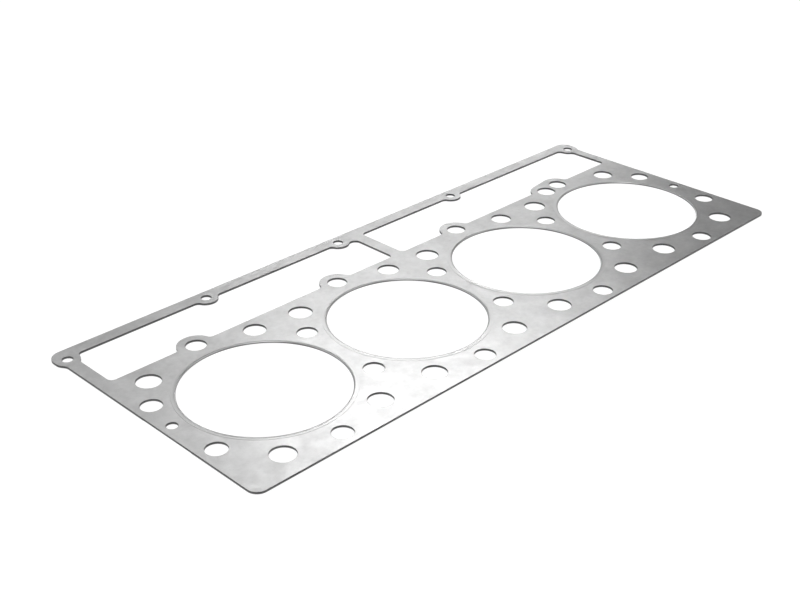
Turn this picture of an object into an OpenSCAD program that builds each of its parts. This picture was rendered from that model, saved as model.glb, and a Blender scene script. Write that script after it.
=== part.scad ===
/* [Plate] */
// Thickness of the plate
plate_t = 1.6; // [1:0.1:3]
// Width of metal between the front bolt holes and the front edge
front_land = 4.65; // [2:0.05:20]
// Bore line to the back edge of the rail
rail_reach = 144.3; // [140:0.1:165]
// Width of metal between the end bolt holes and the end edges
end_land = 5.2; // [3:0.1:20]
// Corner radius at the front
front_corner_r = 8.5; // [3:0.5:14]
// Corner radius at the back
back_corner_r = 10.5; // [6:0.5:11]
// Radius of the boss round each corner hole
corner_boss_r = 9.6; // [9:0.1:11]
// Fillet radius under each back corner
ear_fillet = 7; // [2:0.5:12]

/* [Windows] */
// Width of metal between the small back passages and the windows
deck_land = 5.8; // [3:0.1:12]
// Width of the back rail
rail_w = 11.15; // [8:0.05:14]
// Width of the web between the windows
web_w = 11.3; // [8:0.1:20]
// Width of the left end rail
left_rail_w = 11; // [8:0.1:14]
// Width of the right end rail
right_rail_w = 9.2; // [8:0.1:14]
// Fillet radius in the windows
window_fillet = 4.5; // [1:0.5:6]
// Fillet radius between the web and the rail lobe beside it
web_fillet = 5.5; // [3:0.5:6]

/* [Fire rings] */
// Clear diameter inside each ring
ring_clear_d = 125; // [112:0.5:140]
// Width of plate left between neighbouring rings
bridge_w = 9.7; // [4:0.1:14]
// Sheet thickness of a ring
ring_sheet = 0.25; // [0.15:0.05:0.4]
// Width of a ring's flanges on the plate
ring_flange = 2.85; // [1.5:0.05:3.5]
// Gap between a ring's fold and the plate's edge
ring_gap = 0.05; // [0.02:0.01:0.3]

/* [Head bolt holes] */
// Diameter of the head bolt holes
bolt_d = 16.3; // [12:0.1:18]
// Width of metal between the rings and the holes between the bores
near_bolt_land = 5.46; // [3:0.01:8]
// Width of metal between the rings and the holes beside the bores
far_bolt_land = 5.95; // [3:0.05:9]
// Width of metal round a hole that stands in a window
bolt_land = 6.55; // [4:0.05:9]

/* [Fluid passages] */
// Diameter of the large passages
passage_d = 19.2; // [14:0.1:21]
// Angle of the large back passage round its bore, from straight back, clockwise
back_left_angle = -40.49; // [-45:0.01:-36]
// Width of metal between the ring and the large back passage
back_left_land = 7.65; // [5:0.05:10]
// Angle of the left front passage
front_left_angle = -148.22; // [-155:0.01:-143]
// Width of metal between the ring and the left front passage
front_left_land = 7.95; // [5:0.05:10]
// Angle of the right front passage
front_right_angle = 146.91; // [143:0.01:155]
// Width of metal between the ring and the right front passage
front_right_land = 7.45; // [5:0.05:10]
// Diameter of the small back passages
small_passage_d = 18; // [12:0.1:20]
// Angle of the small back passages
back_right_angle = 34.04; // [30:0.01:38]
// Width of metal between the rings and the small back passages
back_right_land = 6.05; // [4:0.05:10]
// Angle of the last small back passage
last_right_angle = 37.83; // [32:0.01:44]
// Width of metal between the ring and the last small back passage
last_right_land = 6.15; // [4:0.05:8]
// Diameter of the feed hole
feed_d = 17; // [12:0.1:18]
// Angle of the feed hole, beside the last bore
feed_angle = -14.68; // [-16:0.01:-14]
// Width of metal between the ring and the feed hole
feed_land = 5.4; // [3:0.05:8]
// Width of metal round the feed hole in the window
feed_lobe_land = 6; // [3:0.1:8]

/* [Locating holes] */
// Diameter of the two dowel holes
dowel_d = 8.6; // [6:0.1:10]
// End edge to the dowel holes
dowel_inset = 8.85; // [7:0.05:10]
// Bore line to the left dowel hole
left_dowel_y = 6.1; // [0:0.1:12]
// Bore line to the right dowel hole
right_dowel_y = 0; // [-6:0.1:6]

/* [Rail bolt holes] */
// Diameter of the rail bolt holes
rail_bolt_d = 8.5; // [6:0.1:9]
// Line between two bores to the rail hole, leftwards
rail_bolt_x = 20.45; // [18:0.05:23]
// Rail holes to the back edge
rail_bolt_inset = 9.4; // [7:0.1:11]
// Radius of the lobe round a rail hole
rail_lobe_r = 9.7; // [7:0.1:11]
// End edge to the corner holes
corner_bolt_x = 5.85; // [4:0.05:8]
// Back edge to the corner holes
corner_bolt_y = 13.9; // [12:0.1:16]

/* [Hidden] */
// Facets round a full circle
$fn = 96;
// How far a cutter passes a face
over = 1;
// How far edges that run smoothly into each other overlap, so that they cross at a clear point
bite = 0.001;
// Lower face and middle of the plate, above the plane the rings lie on
plate_low = ring_sheet;
plate_mid = plate_low + plate_t / 2;
// Outside and inside radius of a ring's folded edge
fold_r = plate_t / 2 + ring_sheet;
fold_in_r = plate_t / 2;
// Middle of the fold and outer edge of the flanges, from the bore's centre
fold_x = ring_clear_d / 2 + fold_r;
ring_r = fold_x + ring_flange;
// Bore centres, and the lines of bolts between and outside them
pitch = 2 * ring_r + bridge_w;
bore_x = [for (i = [-1.5:1:1.5]) i * pitch];
gap_x = [for (i = [-2:1:2]) i * pitch];
// Bore line to the bolt holes between and beside the bores
near_bolt_y = sqrt(pow(ring_r + near_bolt_land + bolt_d / 2, 2) - pow(pitch / 2, 2));
far_bolt_y = ring_r + far_bolt_land + bolt_d / 2;
// Places of the passages, from the bore's centre
back_left = beside_ring(back_left_land, passage_d, back_left_angle);
front_left = beside_ring(front_left_land, passage_d, front_left_angle);
front_right = beside_ring(front_right_land, passage_d, front_right_angle);
back_right = beside_ring(back_right_land, small_passage_d, back_right_angle);
last_right = beside_ring(last_right_land, small_passage_d, last_right_angle);
feed = beside_ring(feed_land, feed_d, feed_angle);
// Reach of the plate, of the metal under the windows and of the windows themselves
half_length = gap_x[4] + bolt_d / 2 + end_land;
front_reach = far_bolt_y + bolt_d / 2 + front_land;
deck_reach = back_right[1] + small_passage_d / 2 + deck_land;
window_top = rail_reach - rail_w;
corner_x = half_length - corner_bolt_x;
ear_reach = corner_x + corner_boss_r - bite;
corner_y = rail_reach - corner_bolt_y;
rail_bolt_y = rail_reach - rail_bolt_inset;
rail_x = [for (i = [1:3]) gap_x[i] - rail_bolt_x];

// Place of a hole that has a land of metal between it and the ring, at an angle from straight back
function beside_ring(land, d, angle) = (ring_r + land + d / 2) * [sin(angle), cos(angle)];

// Puts the children at the right and the left end
module both_ends() {
  children();
  mirror([1, 0]) children();
}

// A rectangle given by its left, right, lower and upper edge
module block(left, right, low, high) {
  translate([left, low]) square([right - left, high - low]);
}

// What a rounded corner leaves over, in a corner at the origin that opens to the right and up
module nook(r) {
  difference() {
    translate([-over, -over]) square(r + over);
    translate([r - bite, r - bite]) circle(r);
  }
}

// Metal in the angle between a circle about the origin and a straight edge that lies along x at
// the given rise under its centre, with free space above it and a fillet on the right
module fillet(r, rise, f) {
  height = f - bite - rise;
  centre = [sqrt(pow(r + f - bite, 2) - pow(height, 2)), height];
  difference() {
    polygon([[0, 0], centre, [centre[0], -rise - over], [0, -max(rise, 0) - over]]);
    translate(centre) circle(f);
  }
}

// Outer shape of the plate, with an ear at each back corner
module outline() {
  difference() {
    union() {
      block(-half_length, half_length, -front_reach, rail_reach - back_corner_r);
      block(-ear_reach, ear_reach, corner_y, rail_reach);
      both_ends() translate([corner_x, corner_y]) circle(corner_boss_r);
    }
    both_ends() {
      translate([half_length, -front_reach]) rotate(90) nook(front_corner_r);
      translate([ear_reach, rail_reach]) rotate(180) nook(back_corner_r);
    }
  }
}

// Fillet between each ear and the end edge under it
module ear_fillets() {
  both_ends() translate([corner_x, corner_y]) rotate(-90)
    fillet(corner_boss_r, corner_x - half_length, ear_fillet);
}

// A window with four rounded corners
module window(left, right) {
  difference() {
    block(left, right, deck_reach, window_top);
    translate([left, deck_reach]) nook(window_fillet);
    translate([right, deck_reach]) rotate(90) nook(window_fillet);
    translate([right, window_top]) rotate(180) nook(window_fillet);
    translate([left, window_top]) rotate(-90) nook(window_fillet);
  }
}

// Metal round the head bolt holes that stand in the windows
module deck_lobes() {
  r = bolt_d / 2 + bolt_land;
  feed_r = feed_d / 2 + feed_lobe_land;
  last = [0, far_bolt_y];
  for (x = bore_x) translate([x, far_bolt_y]) {
    circle(r);
    both_ends() fillet(r, far_bolt_y - deck_reach, window_fillet);
  }
  // The last one runs on round the feed hole beside it, with a straight side between the two
  way = feed - last;
  normal = atan2(way[1], way[0]) - acos((r - feed_r) / norm(way));
  side = [cos(normal), sin(normal)];
  translate([bore_x[3], 0]) {
    polygon([last, last + (r - bite) * side, feed + (feed_r - bite) * side, feed]);
    translate(feed) {
      circle(feed_r);
      mirror([1, 0]) fillet(feed_r, feed[1] - deck_reach, window_fillet);
    }
  }
}

// Metal round the small bolt holes along the rail
module rail_lobes() {
  for (x = rail_x) translate([x, rail_bolt_y]) {
    circle(rail_lobe_r);
    both_ends() mirror([0, 1]) fillet(rail_lobe_r, window_top - rail_bolt_y, window_fillet);
  }
}

// The right corner boss, with its fillets inside a window whose end rail has the given width
module corner_boss(end_rail_w) {
  translate([corner_x, corner_y]) {
    circle(corner_boss_r);
    rotate(180) fillet(corner_boss_r, window_top - corner_y, window_fillet);
    mirror([1, 1]) fillet(corner_boss_r, corner_bolt_x - end_rail_w, window_fillet);
  }
}

// The two openings along the back
module windows() {
  difference() {
    union() {
      window(left_rail_w - half_length, -web_w / 2);
      window(web_w / 2, half_length - right_rail_w);
    }
    deck_lobes();
    rail_lobes();
    corner_boss(right_rail_w);
    mirror([1, 0]) corner_boss(left_rail_w);
    // The middle rail lobe stands so close to the web that they share one fillet
    translate([rail_x[1], rail_bolt_y]) mirror([1, 1])
      fillet(rail_lobe_r, -web_w / 2 - rail_x[1], web_fillet);
    block(rail_x[1], 0, rail_bolt_y, rail_reach);
  }
}

// One hole right through the plate
module hole(at, d) {
  translate([at[0], at[1], plate_low - over]) cylinder(h = plate_t + 2 * over, d = d);
}

// The eighteen holes for the head bolts
module head_bolt_holes() {
  for (x = gap_x, y = [-near_bolt_y, near_bolt_y]) hole([x, y], bolt_d);
  for (x = bore_x, y = [-far_bolt_y, far_bolt_y]) hole([x, y], bolt_d);
}

// Passages for coolant and oil round each bore
module passages() {
  for (x = bore_x) translate([x, 0]) {
    hole(back_left, passage_d);
    hole(front_left, passage_d);
    hole(front_right, passage_d);
  }
  for (i = [0:2]) translate([bore_x[i], 0]) hole(back_right, small_passage_d);
  translate([bore_x[3], 0]) {
    hole(last_right, small_passage_d);
    hole(feed, feed_d);
  }
}

// Dowel holes and the small bolt holes of the rail
module small_holes() {
  hole([dowel_inset - half_length, left_dowel_y], dowel_d);
  hole([half_length - dowel_inset, right_dowel_y], dowel_d);
  for (x = rail_x) hole([x, rail_bolt_y], rail_bolt_d);
  for (side = [-1, 1]) hole([side * corner_x, corner_y], rail_bolt_d);
}

module plate() {
  color("silver") difference() {
    translate([0, 0, plate_low]) {
      linear_extrude(plate_t) difference() {
        outline();
        windows();
      }
      linear_extrude(plate_t) ear_fillets();
    }
    for (x = bore_x) hole([x, 0], 2 * (fold_x + ring_gap));
    head_bolt_holes();
    passages();
    small_holes();
  }
}

// Sheet steel folded over the edge of one bore, with a flange on each face
module fire_ring(x) {
  color("gainsboro") translate([x, 0, plate_mid]) rotate_extrude() {
    difference() {
      translate([fold_x, 0]) circle(fold_r);
      translate([fold_x, 0]) circle(fold_in_r);
      translate([fold_x, -fold_r]) square([fold_r, 2 * fold_r]);
    }
    translate([fold_x, fold_in_r]) square([ring_flange, ring_sheet]);
    translate([fold_x, -fold_r]) square([ring_flange, ring_sheet]);
  }
}

module fire_ring_1() { fire_ring(bore_x[0]); }
module fire_ring_2() { fire_ring(bore_x[1]); }
module fire_ring_3() { fire_ring(bore_x[2]); }
module fire_ring_4() { fire_ring(bore_x[3]); }

plate();
fire_ring_1();
fire_ring_2();
fire_ring_3();
fire_ring_4();
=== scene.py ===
from math import cos, pi, radians, sin

import bpy
import numpy as np
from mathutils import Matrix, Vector


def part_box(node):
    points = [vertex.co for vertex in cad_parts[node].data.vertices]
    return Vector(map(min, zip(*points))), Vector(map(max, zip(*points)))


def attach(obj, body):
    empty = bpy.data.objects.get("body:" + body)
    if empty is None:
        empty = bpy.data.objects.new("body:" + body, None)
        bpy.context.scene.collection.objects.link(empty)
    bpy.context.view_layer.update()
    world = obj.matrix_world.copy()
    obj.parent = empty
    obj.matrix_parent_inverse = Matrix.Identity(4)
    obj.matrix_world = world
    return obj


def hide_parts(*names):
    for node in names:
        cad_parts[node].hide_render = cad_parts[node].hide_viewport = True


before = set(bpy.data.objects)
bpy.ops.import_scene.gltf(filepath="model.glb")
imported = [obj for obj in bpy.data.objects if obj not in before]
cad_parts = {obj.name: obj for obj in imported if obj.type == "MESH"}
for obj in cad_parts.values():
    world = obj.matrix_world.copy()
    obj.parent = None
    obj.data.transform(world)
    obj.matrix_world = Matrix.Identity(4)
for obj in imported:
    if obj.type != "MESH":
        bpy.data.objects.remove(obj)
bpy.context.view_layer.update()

# The camera stands at the photograph's place and looks along the gasket's diagonal
view = {
    "spot": (-0.678104, -0.598678, 0.478311),
    "aim": (-0.054372, 0.025053, 0.00025),
    "lens": 56.689,  # millimetres
    "sensor": 36.0,  # its width in millimetres
    "reach": 200.0,  # nothing is drawn beyond this
}


def addCamera(look):
    data = bpy.data.cameras.new("camera")
    data.lens = look["lens"]
    data.sensor_fit = "HORIZONTAL"
    data.sensor_width = look["sensor"]
    data.clip_end = look["reach"]
    data.dof.use_dof = False
    camera = bpy.data.objects.new("camera", data)
    bpy.context.scene.collection.objects.link(camera)
    spot = Vector(look["spot"])
    camera.location = spot
    camera.rotation_euler = (Vector(look["aim"]) - spot).to_track_quat("-Z", "Y").to_euler()
    bpy.context.scene.camera = camera


addCamera(view)
bpy.context.scene.view_settings.view_transform = "Standard"
print("camera set")


# A socket of a node tree. Adding, subtracting, multiplying or dividing it adds the Math node
# that does it.
class Reading:
    def __init__(self, tree, socket):
        self.tree = tree
        self.socket = socket

    def math(self, operation, *values):
        node = self.tree.nodes.new("ShaderNodeMath")
        node.operation = operation
        for slot, value in zip(node.inputs, values):
            if isinstance(value, Reading):
                self.tree.links.new(value.socket, slot)
            else:
                slot.default_value = value
        return Reading(self.tree, node.outputs[0])

    def __add__(self, other):
        return self.math("ADD", self, other)

    def __radd__(self, other):
        return self.math("ADD", other, self)

    def __sub__(self, other):
        return self.math("SUBTRACT", self, other)

    def __rsub__(self, other):
        return self.math("SUBTRACT", other, self)

    def __mul__(self, other):
        return self.math("MULTIPLY", self, other)

    def __rmul__(self, other):
        return self.math("MULTIPLY", other, self)

    def __truediv__(self, other):
        return self.math("DIVIDE", self, other)

    def __rtruediv__(self, other):
        return self.math("DIVIDE", other, self)

    def absolute(self):
        return self.math("ABSOLUTE", self)

    def root(self):
        return self.math("SQRT", self)

    def fraction(self):
        return self.math("FRACT", self)

    def atLeast(self, low):
        return self.math("MAXIMUM", self, low)

    def atMost(self, high):
        return self.math("MINIMUM", self, high)

    def between(self, low, high):
        # 0 at low, 1 at high and beyond, and an even slope between the two
        return ((self - low) / (high - low)).atLeast(0.0).atMost(1.0)


# A material or world under construction
class Finish:
    def __init__(self, owner):
        owner.use_nodes = True
        self.owner = owner
        self.tree = owner.node_tree
        self.tree.nodes.clear()

    # Makes a node: its settings are set first, then its sockets get values or links, and the
    # named output comes back
    def make(self, kind, settings=None, sockets=None, output=0):
        node = self.tree.nodes.new(kind)
        for key, value in (settings or {}).items():
            setattr(node, key, value)
        for key, value in (sockets or {}).items():
            if isinstance(value, Reading):
                self.tree.links.new(value.socket, node.inputs[key])
            else:
                node.inputs[key].default_value = value
        return Reading(self.tree, node.outputs[output]) if len(node.outputs) else None

    # Noise at a place, spread round its middle tone of 0.5
    def noise(self, place, look):
        return self.make("ShaderNodeTexNoise", {}, {
            "Vector": place,
            "Scale": look["scale"],
            "Detail": look["detail"],
            "Roughness": look["roughness"],
        })

    # A value kept at the points of the mesh
    def mark(self, name):
        return self.make("ShaderNodeAttribute", {"attribute_name": name}, {}, "Fac")


def grey(level):
    return (level, level, level, 1.0)


# Puts a surface into the scene, in place of its CAD nodes and on their body
def newPiece(name, points, faces, normals, marks, material, body, nodes):
    mesh = bpy.data.meshes.new(name)
    mesh.from_pydata(points.tolist(), [], faces)
    for mark, values in marks.items():
        attribute = mesh.attributes.new(mark, "FLOAT", "POINT")
        attribute.data.foreach_set("value", np.asarray(values, np.float32))
    mesh.polygons.foreach_set("use_smooth", np.ones(len(mesh.polygons), bool))
    mesh.update()
    mesh.normals_split_custom_set_from_vertices(normals.tolist())
    mesh.materials.append(material)
    piece = bpy.data.objects.new(name, mesh)
    bpy.context.scene.collection.objects.link(piece)
    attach(piece, body)
    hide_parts(*nodes)


# Sheet steel of the plate
plateSteel = {
    "metal": 0.60,
    "cloud": {"scale": 45.0, "detail": 6.0, "roughness": 0.7},
    "cloudShare": 0.50,  # how far the tone drifts
    "speck": {"scale": 250.0, "detail": 2.0, "roughness": 0.6},
    "speckShare": 0.22,
    "wear": {"scale": 60.0, "detail": 4.0, "roughness": 0.65},
    "rough": 0.30,
    "roughShare": 0.16,  # how far the roughness drifts with the wear
    "roughLeast": 0.28,  # below this the denoiser draws outlines round the smoothest spots
    "wave": {"scale": 45.0, "detail": 2.0, "roughness": 0.5},
    "waveHeight": 0.00036,
    # the walls' tone, partly the cut steel's duller finish and partly painted shade
    "wallMetalAndShade": 0.10,
    "wallShare": 1.5,  # how far the walls' tone drifts
    "wallRough": 0.45,
    "wallTop": 0.00001,  # the walls' darker tone and roughness start this far from a face
    "wallFull": 0.00006,  # and is full this far from it
    "paintedRimShade": 0.4,  # how much darker the metal is along a rim: painted shade
}


# The faces have the metal's tone, times one plus the drift of clouds and specks, and are darker
# along the rims, a painted shade. The walls, told by their height, are rougher, and their dark
# tone is partly the cut steel's duller finish and partly painted shade.
def makePlateSteel(look, low, high):
    finish = Finish(bpy.data.materials.new("plate steel"))
    place = finish.make("ShaderNodeTexCoord", output="Object")
    height = finish.make("ShaderNodeSeparateXYZ", {}, {0: place}, "Z")
    middle, half = (low + high) / 2, (high - low) / 2
    wall = (height - middle).absolute().between(half - look["wallTop"], half - look["wallFull"])
    rim = finish.mark("rim")
    cloud = finish.noise(place, look["cloud"]) - 0.5
    wear = finish.noise(place, look["wear"]) - 0.5
    wave = finish.noise(place, look["wave"])
    speck = finish.noise(place, look["speck"]) - 0.5
    drift = 1 + cloud * look["cloudShare"] + speck * look["speckShare"]
    # Painted shade: the metal is darkened along every rim
    face = look["metal"] * drift * (1 - rim * look["paintedRimShade"])
    # The walls' dark tone is partly the cut steel's duller finish and partly painted shade
    side = look["wallMetalAndShade"] * (1 + wear * look["wallShare"])
    smooth = (look["rough"] + wear * look["roughShare"]).atLeast(look["roughLeast"])
    relief = finish.make("ShaderNodeBump", {}, {
        "Height": wave,
        "Strength": 1.0,
        "Distance": look["waveHeight"],
    }, "Normal")
    body = finish.make("ShaderNodeBsdfPrincipled", {}, {
        "Base Color": face * (1 - wall) + side * wall,
        "Metallic": 1.0,
        "Roughness": smooth * (1 - wall) + look["wallRough"] * wall,
        "Normal": relief,
    })
    finish.make("ShaderNodeOutputMaterial", {}, {"Surface": body})
    return finish.owner


plateEdge = {
    "upperRound": 0.00005,  # radius of the broken edges
    "lowerRound": 0.00008,
    "steps": 3,
    "rimWidth": 0.0003,  # band of painted shade along each rim
    "faceSlack": 1e-6,  # a point this close to the upper face lies on it
    "digits": 7,  # points equal to this many decimals of a metre are one
}


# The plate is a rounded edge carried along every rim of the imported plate. A rim point p with the
# plan normal n becomes p - inset n at each height of the edge's profile: a quarter circle from the
# upper face to the wall, and another from the wall to the lower face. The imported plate's own
# triangles join the rims over the upper face, and the same ones turned over close the lower face.
def plateSurface(cad, look):
    low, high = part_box("plate")
    mesh = cad.data
    spots = np.empty(len(mesh.vertices) * 3, np.float32)
    mesh.vertices.foreach_get("co", spots)
    mesh.calc_loop_triangles()
    corners = np.empty(len(mesh.loop_triangles) * 3, np.int32)
    mesh.loop_triangles.foreach_get("vertices", corners)
    spots, corners = spots.reshape(-1, 3).astype(float), corners.reshape(-1, 3)
    onTop = (spots[corners, 2] > high.z - look["faceSlack"]).all(1)
    used, corners = np.unique(corners[onTop], return_inverse=True)
    rounded = np.round(spots[used, :2], look["digits"])
    plan, same = np.unique(rounded, axis=0, return_inverse=True)
    triangles = same.reshape(-1)[corners.reshape(-1, 3)]

    # A rim edge belongs to one triangle only. It runs with the metal on its left.
    count = len(plan)
    start = triangles.ravel()
    end = np.roll(triangles, -1, axis=1).ravel()
    onRim = ~np.isin(start * count + end, end * count + start)
    after = np.empty(count, int)
    before = np.empty(count, int)
    after[start[onRim]] = end[onRim]
    before[end[onRim]] = start[onRim]

    # Plan normals: the mean of the two rim edges' normals, which point out of the metal
    along = plan[after] - plan
    along /= np.linalg.norm(along, axis=1)[:, None]
    along = along + along[before]
    along /= np.linalg.norm(along, axis=1)[:, None]
    outward = np.column_stack([along[:, 1], -along[:, 0]])

    # The edge's profile, from the upper face round to the lower one
    turn = np.linspace(0, pi / 2, look["steps"] + 1)
    upper, lower, band = look["upperRound"], look["lowerRound"], look["rimWidth"]
    inset = np.concatenate([
        [upper + band],
        upper * (1 - np.sin(turn)),
        lower * (1 - np.cos(turn)),
        [lower + band],
    ])
    height = np.concatenate([
        [high.z],
        high.z - upper * (1 - np.cos(turn)),
        low.z + lower * (1 - np.sin(turn)),
        [low.z],
    ])
    flat = np.concatenate([[0], np.sin(turn), np.cos(turn), [0]])
    rise = np.concatenate([[1], np.cos(turn), -np.sin(turn), [-1]])
    rows = len(inset)
    rim = np.ones((count, rows))
    rim[:, [0, -1]] = 0

    points = np.concatenate([
        plan[:, None] - inset[None, :, None] * outward[:, None],
        np.broadcast_to(height[None, :, None], (count, rows, 1)),
    ], axis=2).reshape(-1, 3)
    normals = np.concatenate([
        flat[None, :, None] * outward[:, None],
        np.broadcast_to(rise[None, :, None], (count, rows, 1)),
    ], axis=2).reshape(-1, 3)
    own = np.arange(count)[:, None] * rows + np.arange(rows - 1)[None]
    far = after[:, None] * rows + np.arange(rows - 1)[None]
    walls = np.stack([own, own + 1, far + 1, far], axis=2).reshape(-1, 4)
    caps = np.concatenate([triangles * rows, triangles[:, ::-1] * rows + rows - 1])
    return points, walls.tolist() + caps.tolist(), normals, {"rim": rim.ravel()}


lowCorner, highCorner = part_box("plate")
steel = makePlateSteel(plateSteel, lowCorner.z, highCorner.z)
points, faces, normals, marks = plateSurface(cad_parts["plate"], plateEdge)
newPiece("sheet", points, faces, normals, marks, steel, "root", ["plate"])
print("plate made,", len(faces), "faces")


# Thin sheet steel of the fire rings
ringSteel = {
    "metal": 0.60,
    "cloud": {"scale": 40.0, "detail": 5.0, "roughness": 0.7},
    "cloudShare": 0.15,
    "rough": 0.30,
    "roughShare": 0.04,  # how far the roughness drifts with the clouds
    "paintedShadeMetal": 0.12,  # share of the tone that is left where the painted shade is 1
}


def makeRingSteel(look):
    finish = Finish(bpy.data.materials.new("ring steel"))
    place = finish.make("ShaderNodeTexCoord", output="Object")
    shade = finish.mark("shade")
    cloud = finish.noise(place, look["cloud"]) - 0.5
    drift = 1 + cloud * look["cloudShare"]
    # Painted shade: the shade mark darkens the steel of the fold in place of its dark reflections
    body = finish.make("ShaderNodeBsdfPrincipled", {}, {
        "Base Color": look["metal"] * drift * (1 - shade * (1 - look["paintedShadeMetal"])),
        "Metallic": 1.0,
        "Roughness": look["rough"] + cloud * look["roughShare"],
    })
    finish.make("ShaderNodeOutputMaterial", {}, {"Surface": body})
    return finish.owner


ring = {
    "sheet": 0.00025,  # thickness
    "flange": 0.00285,  # from the fold's crown out to the outer edge
    "shoulder": 0.0012,  # from the fold's crown out to the flat of the flange
    "shoulderSteps": 8,
    "drop": 0.00008,  # the flat lies this much lower than the crown
    "edge": 0.00006,  # radius of the flange's outer edge
    "around": 288,  # steps round the bore
    "foldSteps": 36,
    # The fold's painted shade by the lift of its surface: -90 underneath, 0 facing the bore, 90 on
    # top
    "shadeLifts": [-90, -40, -20, 8, 26, 56, 72, 90],
    "shades": [0, 0, 0.88, 0.88, 0.05, 0.05, 0.35, 0.35],
    "crownShade": 0.35,
    "crownEnd": 0.4,  # the crown's shade is gone at this share of the shoulder
}


# A fire ring is its section carried round the bore's centre. The section runs in along the lower
# flange, round the half circle of the fold, out along the upper flange, and back on the inside,
# face to face with the plate. A flange falls from the fold's crown to its flat by the drop times
# t squared times three less twice t, with t from 0 to 1 over the shoulder. Its outer edge is
# rounded. The shade is painted shade in the steel's colour: deep where the fold faces the bore,
# slight on its crown, and full inside.
def ringSurface(node, look):
    low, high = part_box(node)
    centre = ((low.x + high.x) / 2, (low.y + high.y) / 2)
    outer = (high.x - low.x) / 2
    middle = (low.z + high.z) / 2
    fold = (high.z - low.z) / 2  # outside radius of the folded edge
    sheet, edge = look["sheet"], look["edge"]
    hub = outer - look["flange"]

    # Columns: reach, height over the middle, outward and upward part of the normal, shade
    drop, width = look["drop"], look["shoulder"]
    part = np.linspace(0, 1, look["shoulderSteps"] + 1)[1:]
    fall = 6 * part * (1 - part) * drop / width
    shoulder = np.column_stack([
        hub + width * part,
        fold - drop * part**2 * (3 - 2 * part),
        fall / np.hypot(fall, 1),
        1 / np.hypot(fall, 1),
        np.interp(part, [0, look["crownEnd"]], [look["crownShade"], 0]),
    ])
    brim = fold - drop
    slant, cut = 0.7071, 0.29 * edge  # normal and setback halfway round the rounded edge
    rim = np.array([
        [outer - edge, brim, 0, 1, 0],
        [outer - cut, brim - cut, slant, slant, 0],
        [outer, brim - edge, 1, 0, 0],
        [outer, fold - sheet, 1, 0, 0],
    ])
    upper = np.concatenate([shoulder, rim])
    lower = upper[::-1] * [1, -1, 1, -1, 1]

    bend = np.radians(np.linspace(-90, -270, look["foldSteps"] + 1))
    lift = -90 - np.degrees(bend) - 90  # from -90 under the fold to 90 on top of it
    outside = np.column_stack([
        hub + fold * np.cos(bend),
        fold * np.sin(bend),
        np.cos(bend),
        np.sin(bend),
        np.interp(lift, look["shadeLifts"], look["shades"]),
    ])
    back = bend[::-1]
    inside = np.column_stack([
        hub + (fold - sheet) * np.cos(back),
        (fold - sheet) * np.sin(back),
        -np.cos(back),
        -np.sin(back),
        np.ones(len(back)),
    ])
    reach, height, outward, rise, shade = np.concatenate([lower, outside, upper, inside]).T
    height = height + middle

    around = look["around"]
    turn = np.linspace(0, 2 * pi, around, endpoint=False)[:, None]
    full = np.ones((around, 1))
    points = np.stack([
        centre[0] + reach * np.cos(turn),
        centre[1] + reach * np.sin(turn),
        height * full,
    ], axis=2).reshape(-1, 3)
    normals = np.stack([
        outward * np.cos(turn),
        outward * np.sin(turn),
        rise * full,
    ], axis=2).reshape(-1, 3)
    rows = len(reach)
    here = np.arange(around)[:, None] * rows
    there = (np.arange(around)[:, None] + 1) % around * rows
    step = np.arange(rows)[None]
    nextStep = (step + 1) % rows
    faces = np.stack([here + step, here + nextStep, there + nextStep, there + step], axis=2)
    return points, faces.reshape(-1, 4).tolist(), normals, {"shade": (shade * full).ravel()}


steel = makeRingSteel(ringSteel)
for number in range(1, 5):
    node = f"fire_ring_{number}"
    name = f"folded_ring_{number}"
    points, faces, normals, marks = ringSurface(node, ring)
    newPiece(name, points, faces, normals, marks, steel, "root", [node])
print("fire rings made,", len(faces), "faces each")


floor = {
    "size": 60.0,  # length of its sides
    "glow": 0.93,  # brightness to the camera and in reflections
    "shade": 0.18,  # tone of the matt surface that takes the shadow
    "contact": 0.00045,  # reach of the painted contact shadow where the plate's walls meet the floor
    "contactSamples": 16,
    "bore": 0.0637,  # no painted contact shadow within this distance of a bore's centre
    "boreBlend": 0.0002,  # and the shadow is full this much further out
}
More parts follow.
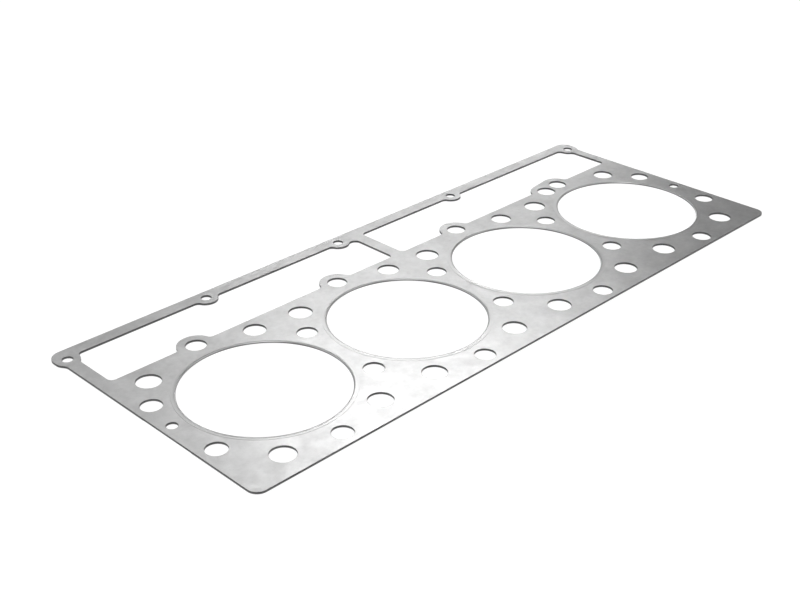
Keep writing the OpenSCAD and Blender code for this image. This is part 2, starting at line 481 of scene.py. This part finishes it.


# The floor is white to the camera and in reflections, and it takes a faint shadow. A contact
# shadow along the plate's walls is painted into its glow by an occlusion node. It is left out
# inside the fire rings, because their folds lift off the floor in a curve.
# The bores stand in a row, so one bay of it is measured and repeated.
def addFloor(look):
    half = look["size"] / 2
    corners = [(-half, -half, 0), (half, -half, 0), (half, half, 0), (-half, half, 0)]
    mesh = bpy.data.meshes.new("floor")
    mesh.from_pydata(corners, [], [(0, 1, 2, 3)])
    finish = Finish(bpy.data.materials.new("floor"))
    camera = finish.make("ShaderNodeLightPath", output="Is Camera Ray")
    glossy = finish.make("ShaderNodeLightPath", output="Is Glossy Ray")
    through = finish.make("ShaderNodeLightPath", output="Is Transmission Ray")
    seen = (camera + glossy + through).atMost(1.0)
    first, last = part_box("fire_ring_1"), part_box("fire_ring_4")
    pitch = (last[0].x - first[0].x) / 3  # three bays from the first bore to the fourth
    bayStart = (first[0].x + first[1].x - pitch) / 2
    place = finish.make("ShaderNodeTexCoord", output="Object")
    across = finish.make("ShaderNodeSeparateXYZ", {}, {0: place}, "X")
    along = finish.make("ShaderNodeSeparateXYZ", {}, {0: place}, "Y")
    bay = ((across - bayStart) / pitch).fraction() * pitch - pitch / 2
    distance = (bay * bay + along * along).root()
    outside = distance.between(look["bore"], look["bore"] + look["boreBlend"])
    clear = finish.make("ShaderNodeAmbientOcclusion", {"samples": look["contactSamples"]}, {
        "Distance": look["contact"],
    }, "AO")
    # Painted contact shadow: occlusion darkens the glow near the plate's walls
    lit = 1 - outside * (1 - clear)
    glow = finish.make("ShaderNodeEmission", {}, {
        "Color": seen * lit * look["glow"],
        "Strength": 1.0,
    })
    matt = finish.make("ShaderNodeBsdfDiffuse", {}, {"Color": grey(look["shade"])})
    both = finish.make("ShaderNodeAddShader", {}, {0: glow, 1: matt})
    finish.make("ShaderNodeOutputMaterial", {}, {"Surface": both})
    mesh.materials.append(finish.owner)
    piece = bpy.data.objects.new("floor", mesh)
    bpy.context.scene.collection.objects.link(piece)


addFloor(floor)

# Soft lamps, all this far from the origin, which is the middle of the row of bores. Each has its
# bearing from +X and its lift over the floor in degrees, its width and height, and its brightness.
lampDistance = 3.0
lamps = {
    "key": {"bearing": 43.4, "lift": 36.2, "width": 1.23, "height": 0.22, "level": 7.5},
    "low": {"bearing": 45.5, "lift": 12.9, "width": 1.59, "height": 0.23, "level": 5.5},
    "left": {"bearing": 65.8, "lift": 36.1, "width": 1.63, "height": 0.51, "level": 0.97},
    "back": {"bearing": 225, "lift": 46, "width": 2.2, "height": 2.8, "level": 1.4},
    "front": {"bearing": 315, "lift": 33, "width": 3.0, "height": 2.4, "level": 0.6},
    "rear": {"bearing": 135, "lift": 33, "width": 3.0, "height": 2.4, "level": 0.6},
    "top": {"bearing": 45, "lift": 82, "width": 3.2, "height": 2.2, "level": 1.0},
}


def addLamp(name, look):
    data = bpy.data.lights.new(name, "AREA")
    data.shape = "ELLIPSE"
    data.size = look["width"]
    data.size_y = look["height"]
    area = pi / 4 * look["width"] * look["height"]
    data.energy = look["level"] * pi * area
    lamp = bpy.data.objects.new(name, data)
    bpy.context.scene.collection.objects.link(lamp)
    bearing, lift = radians(look["bearing"]), radians(look["lift"])
    direction = Vector((cos(lift) * cos(bearing), cos(lift) * sin(bearing), sin(lift)))
    spot = direction * lampDistance
    lamp.location = spot
    lamp.rotation_euler = (-spot).to_track_quat("-Z", "Y").to_euler()


for name, look in lamps.items():
    addLamp(name, look)

studioGrey = 0.27


def addStudio(level):
    world = bpy.data.worlds.new("studio")
    bpy.context.scene.world = world
    finish = Finish(world)
    sky = finish.make("ShaderNodeBackground", {}, {"Color": grey(level), "Strength": 1.0})
    finish.make("ShaderNodeOutputWorld", {}, {"Surface": sky})


addStudio(studioGrey)
print("floor and lamps set")
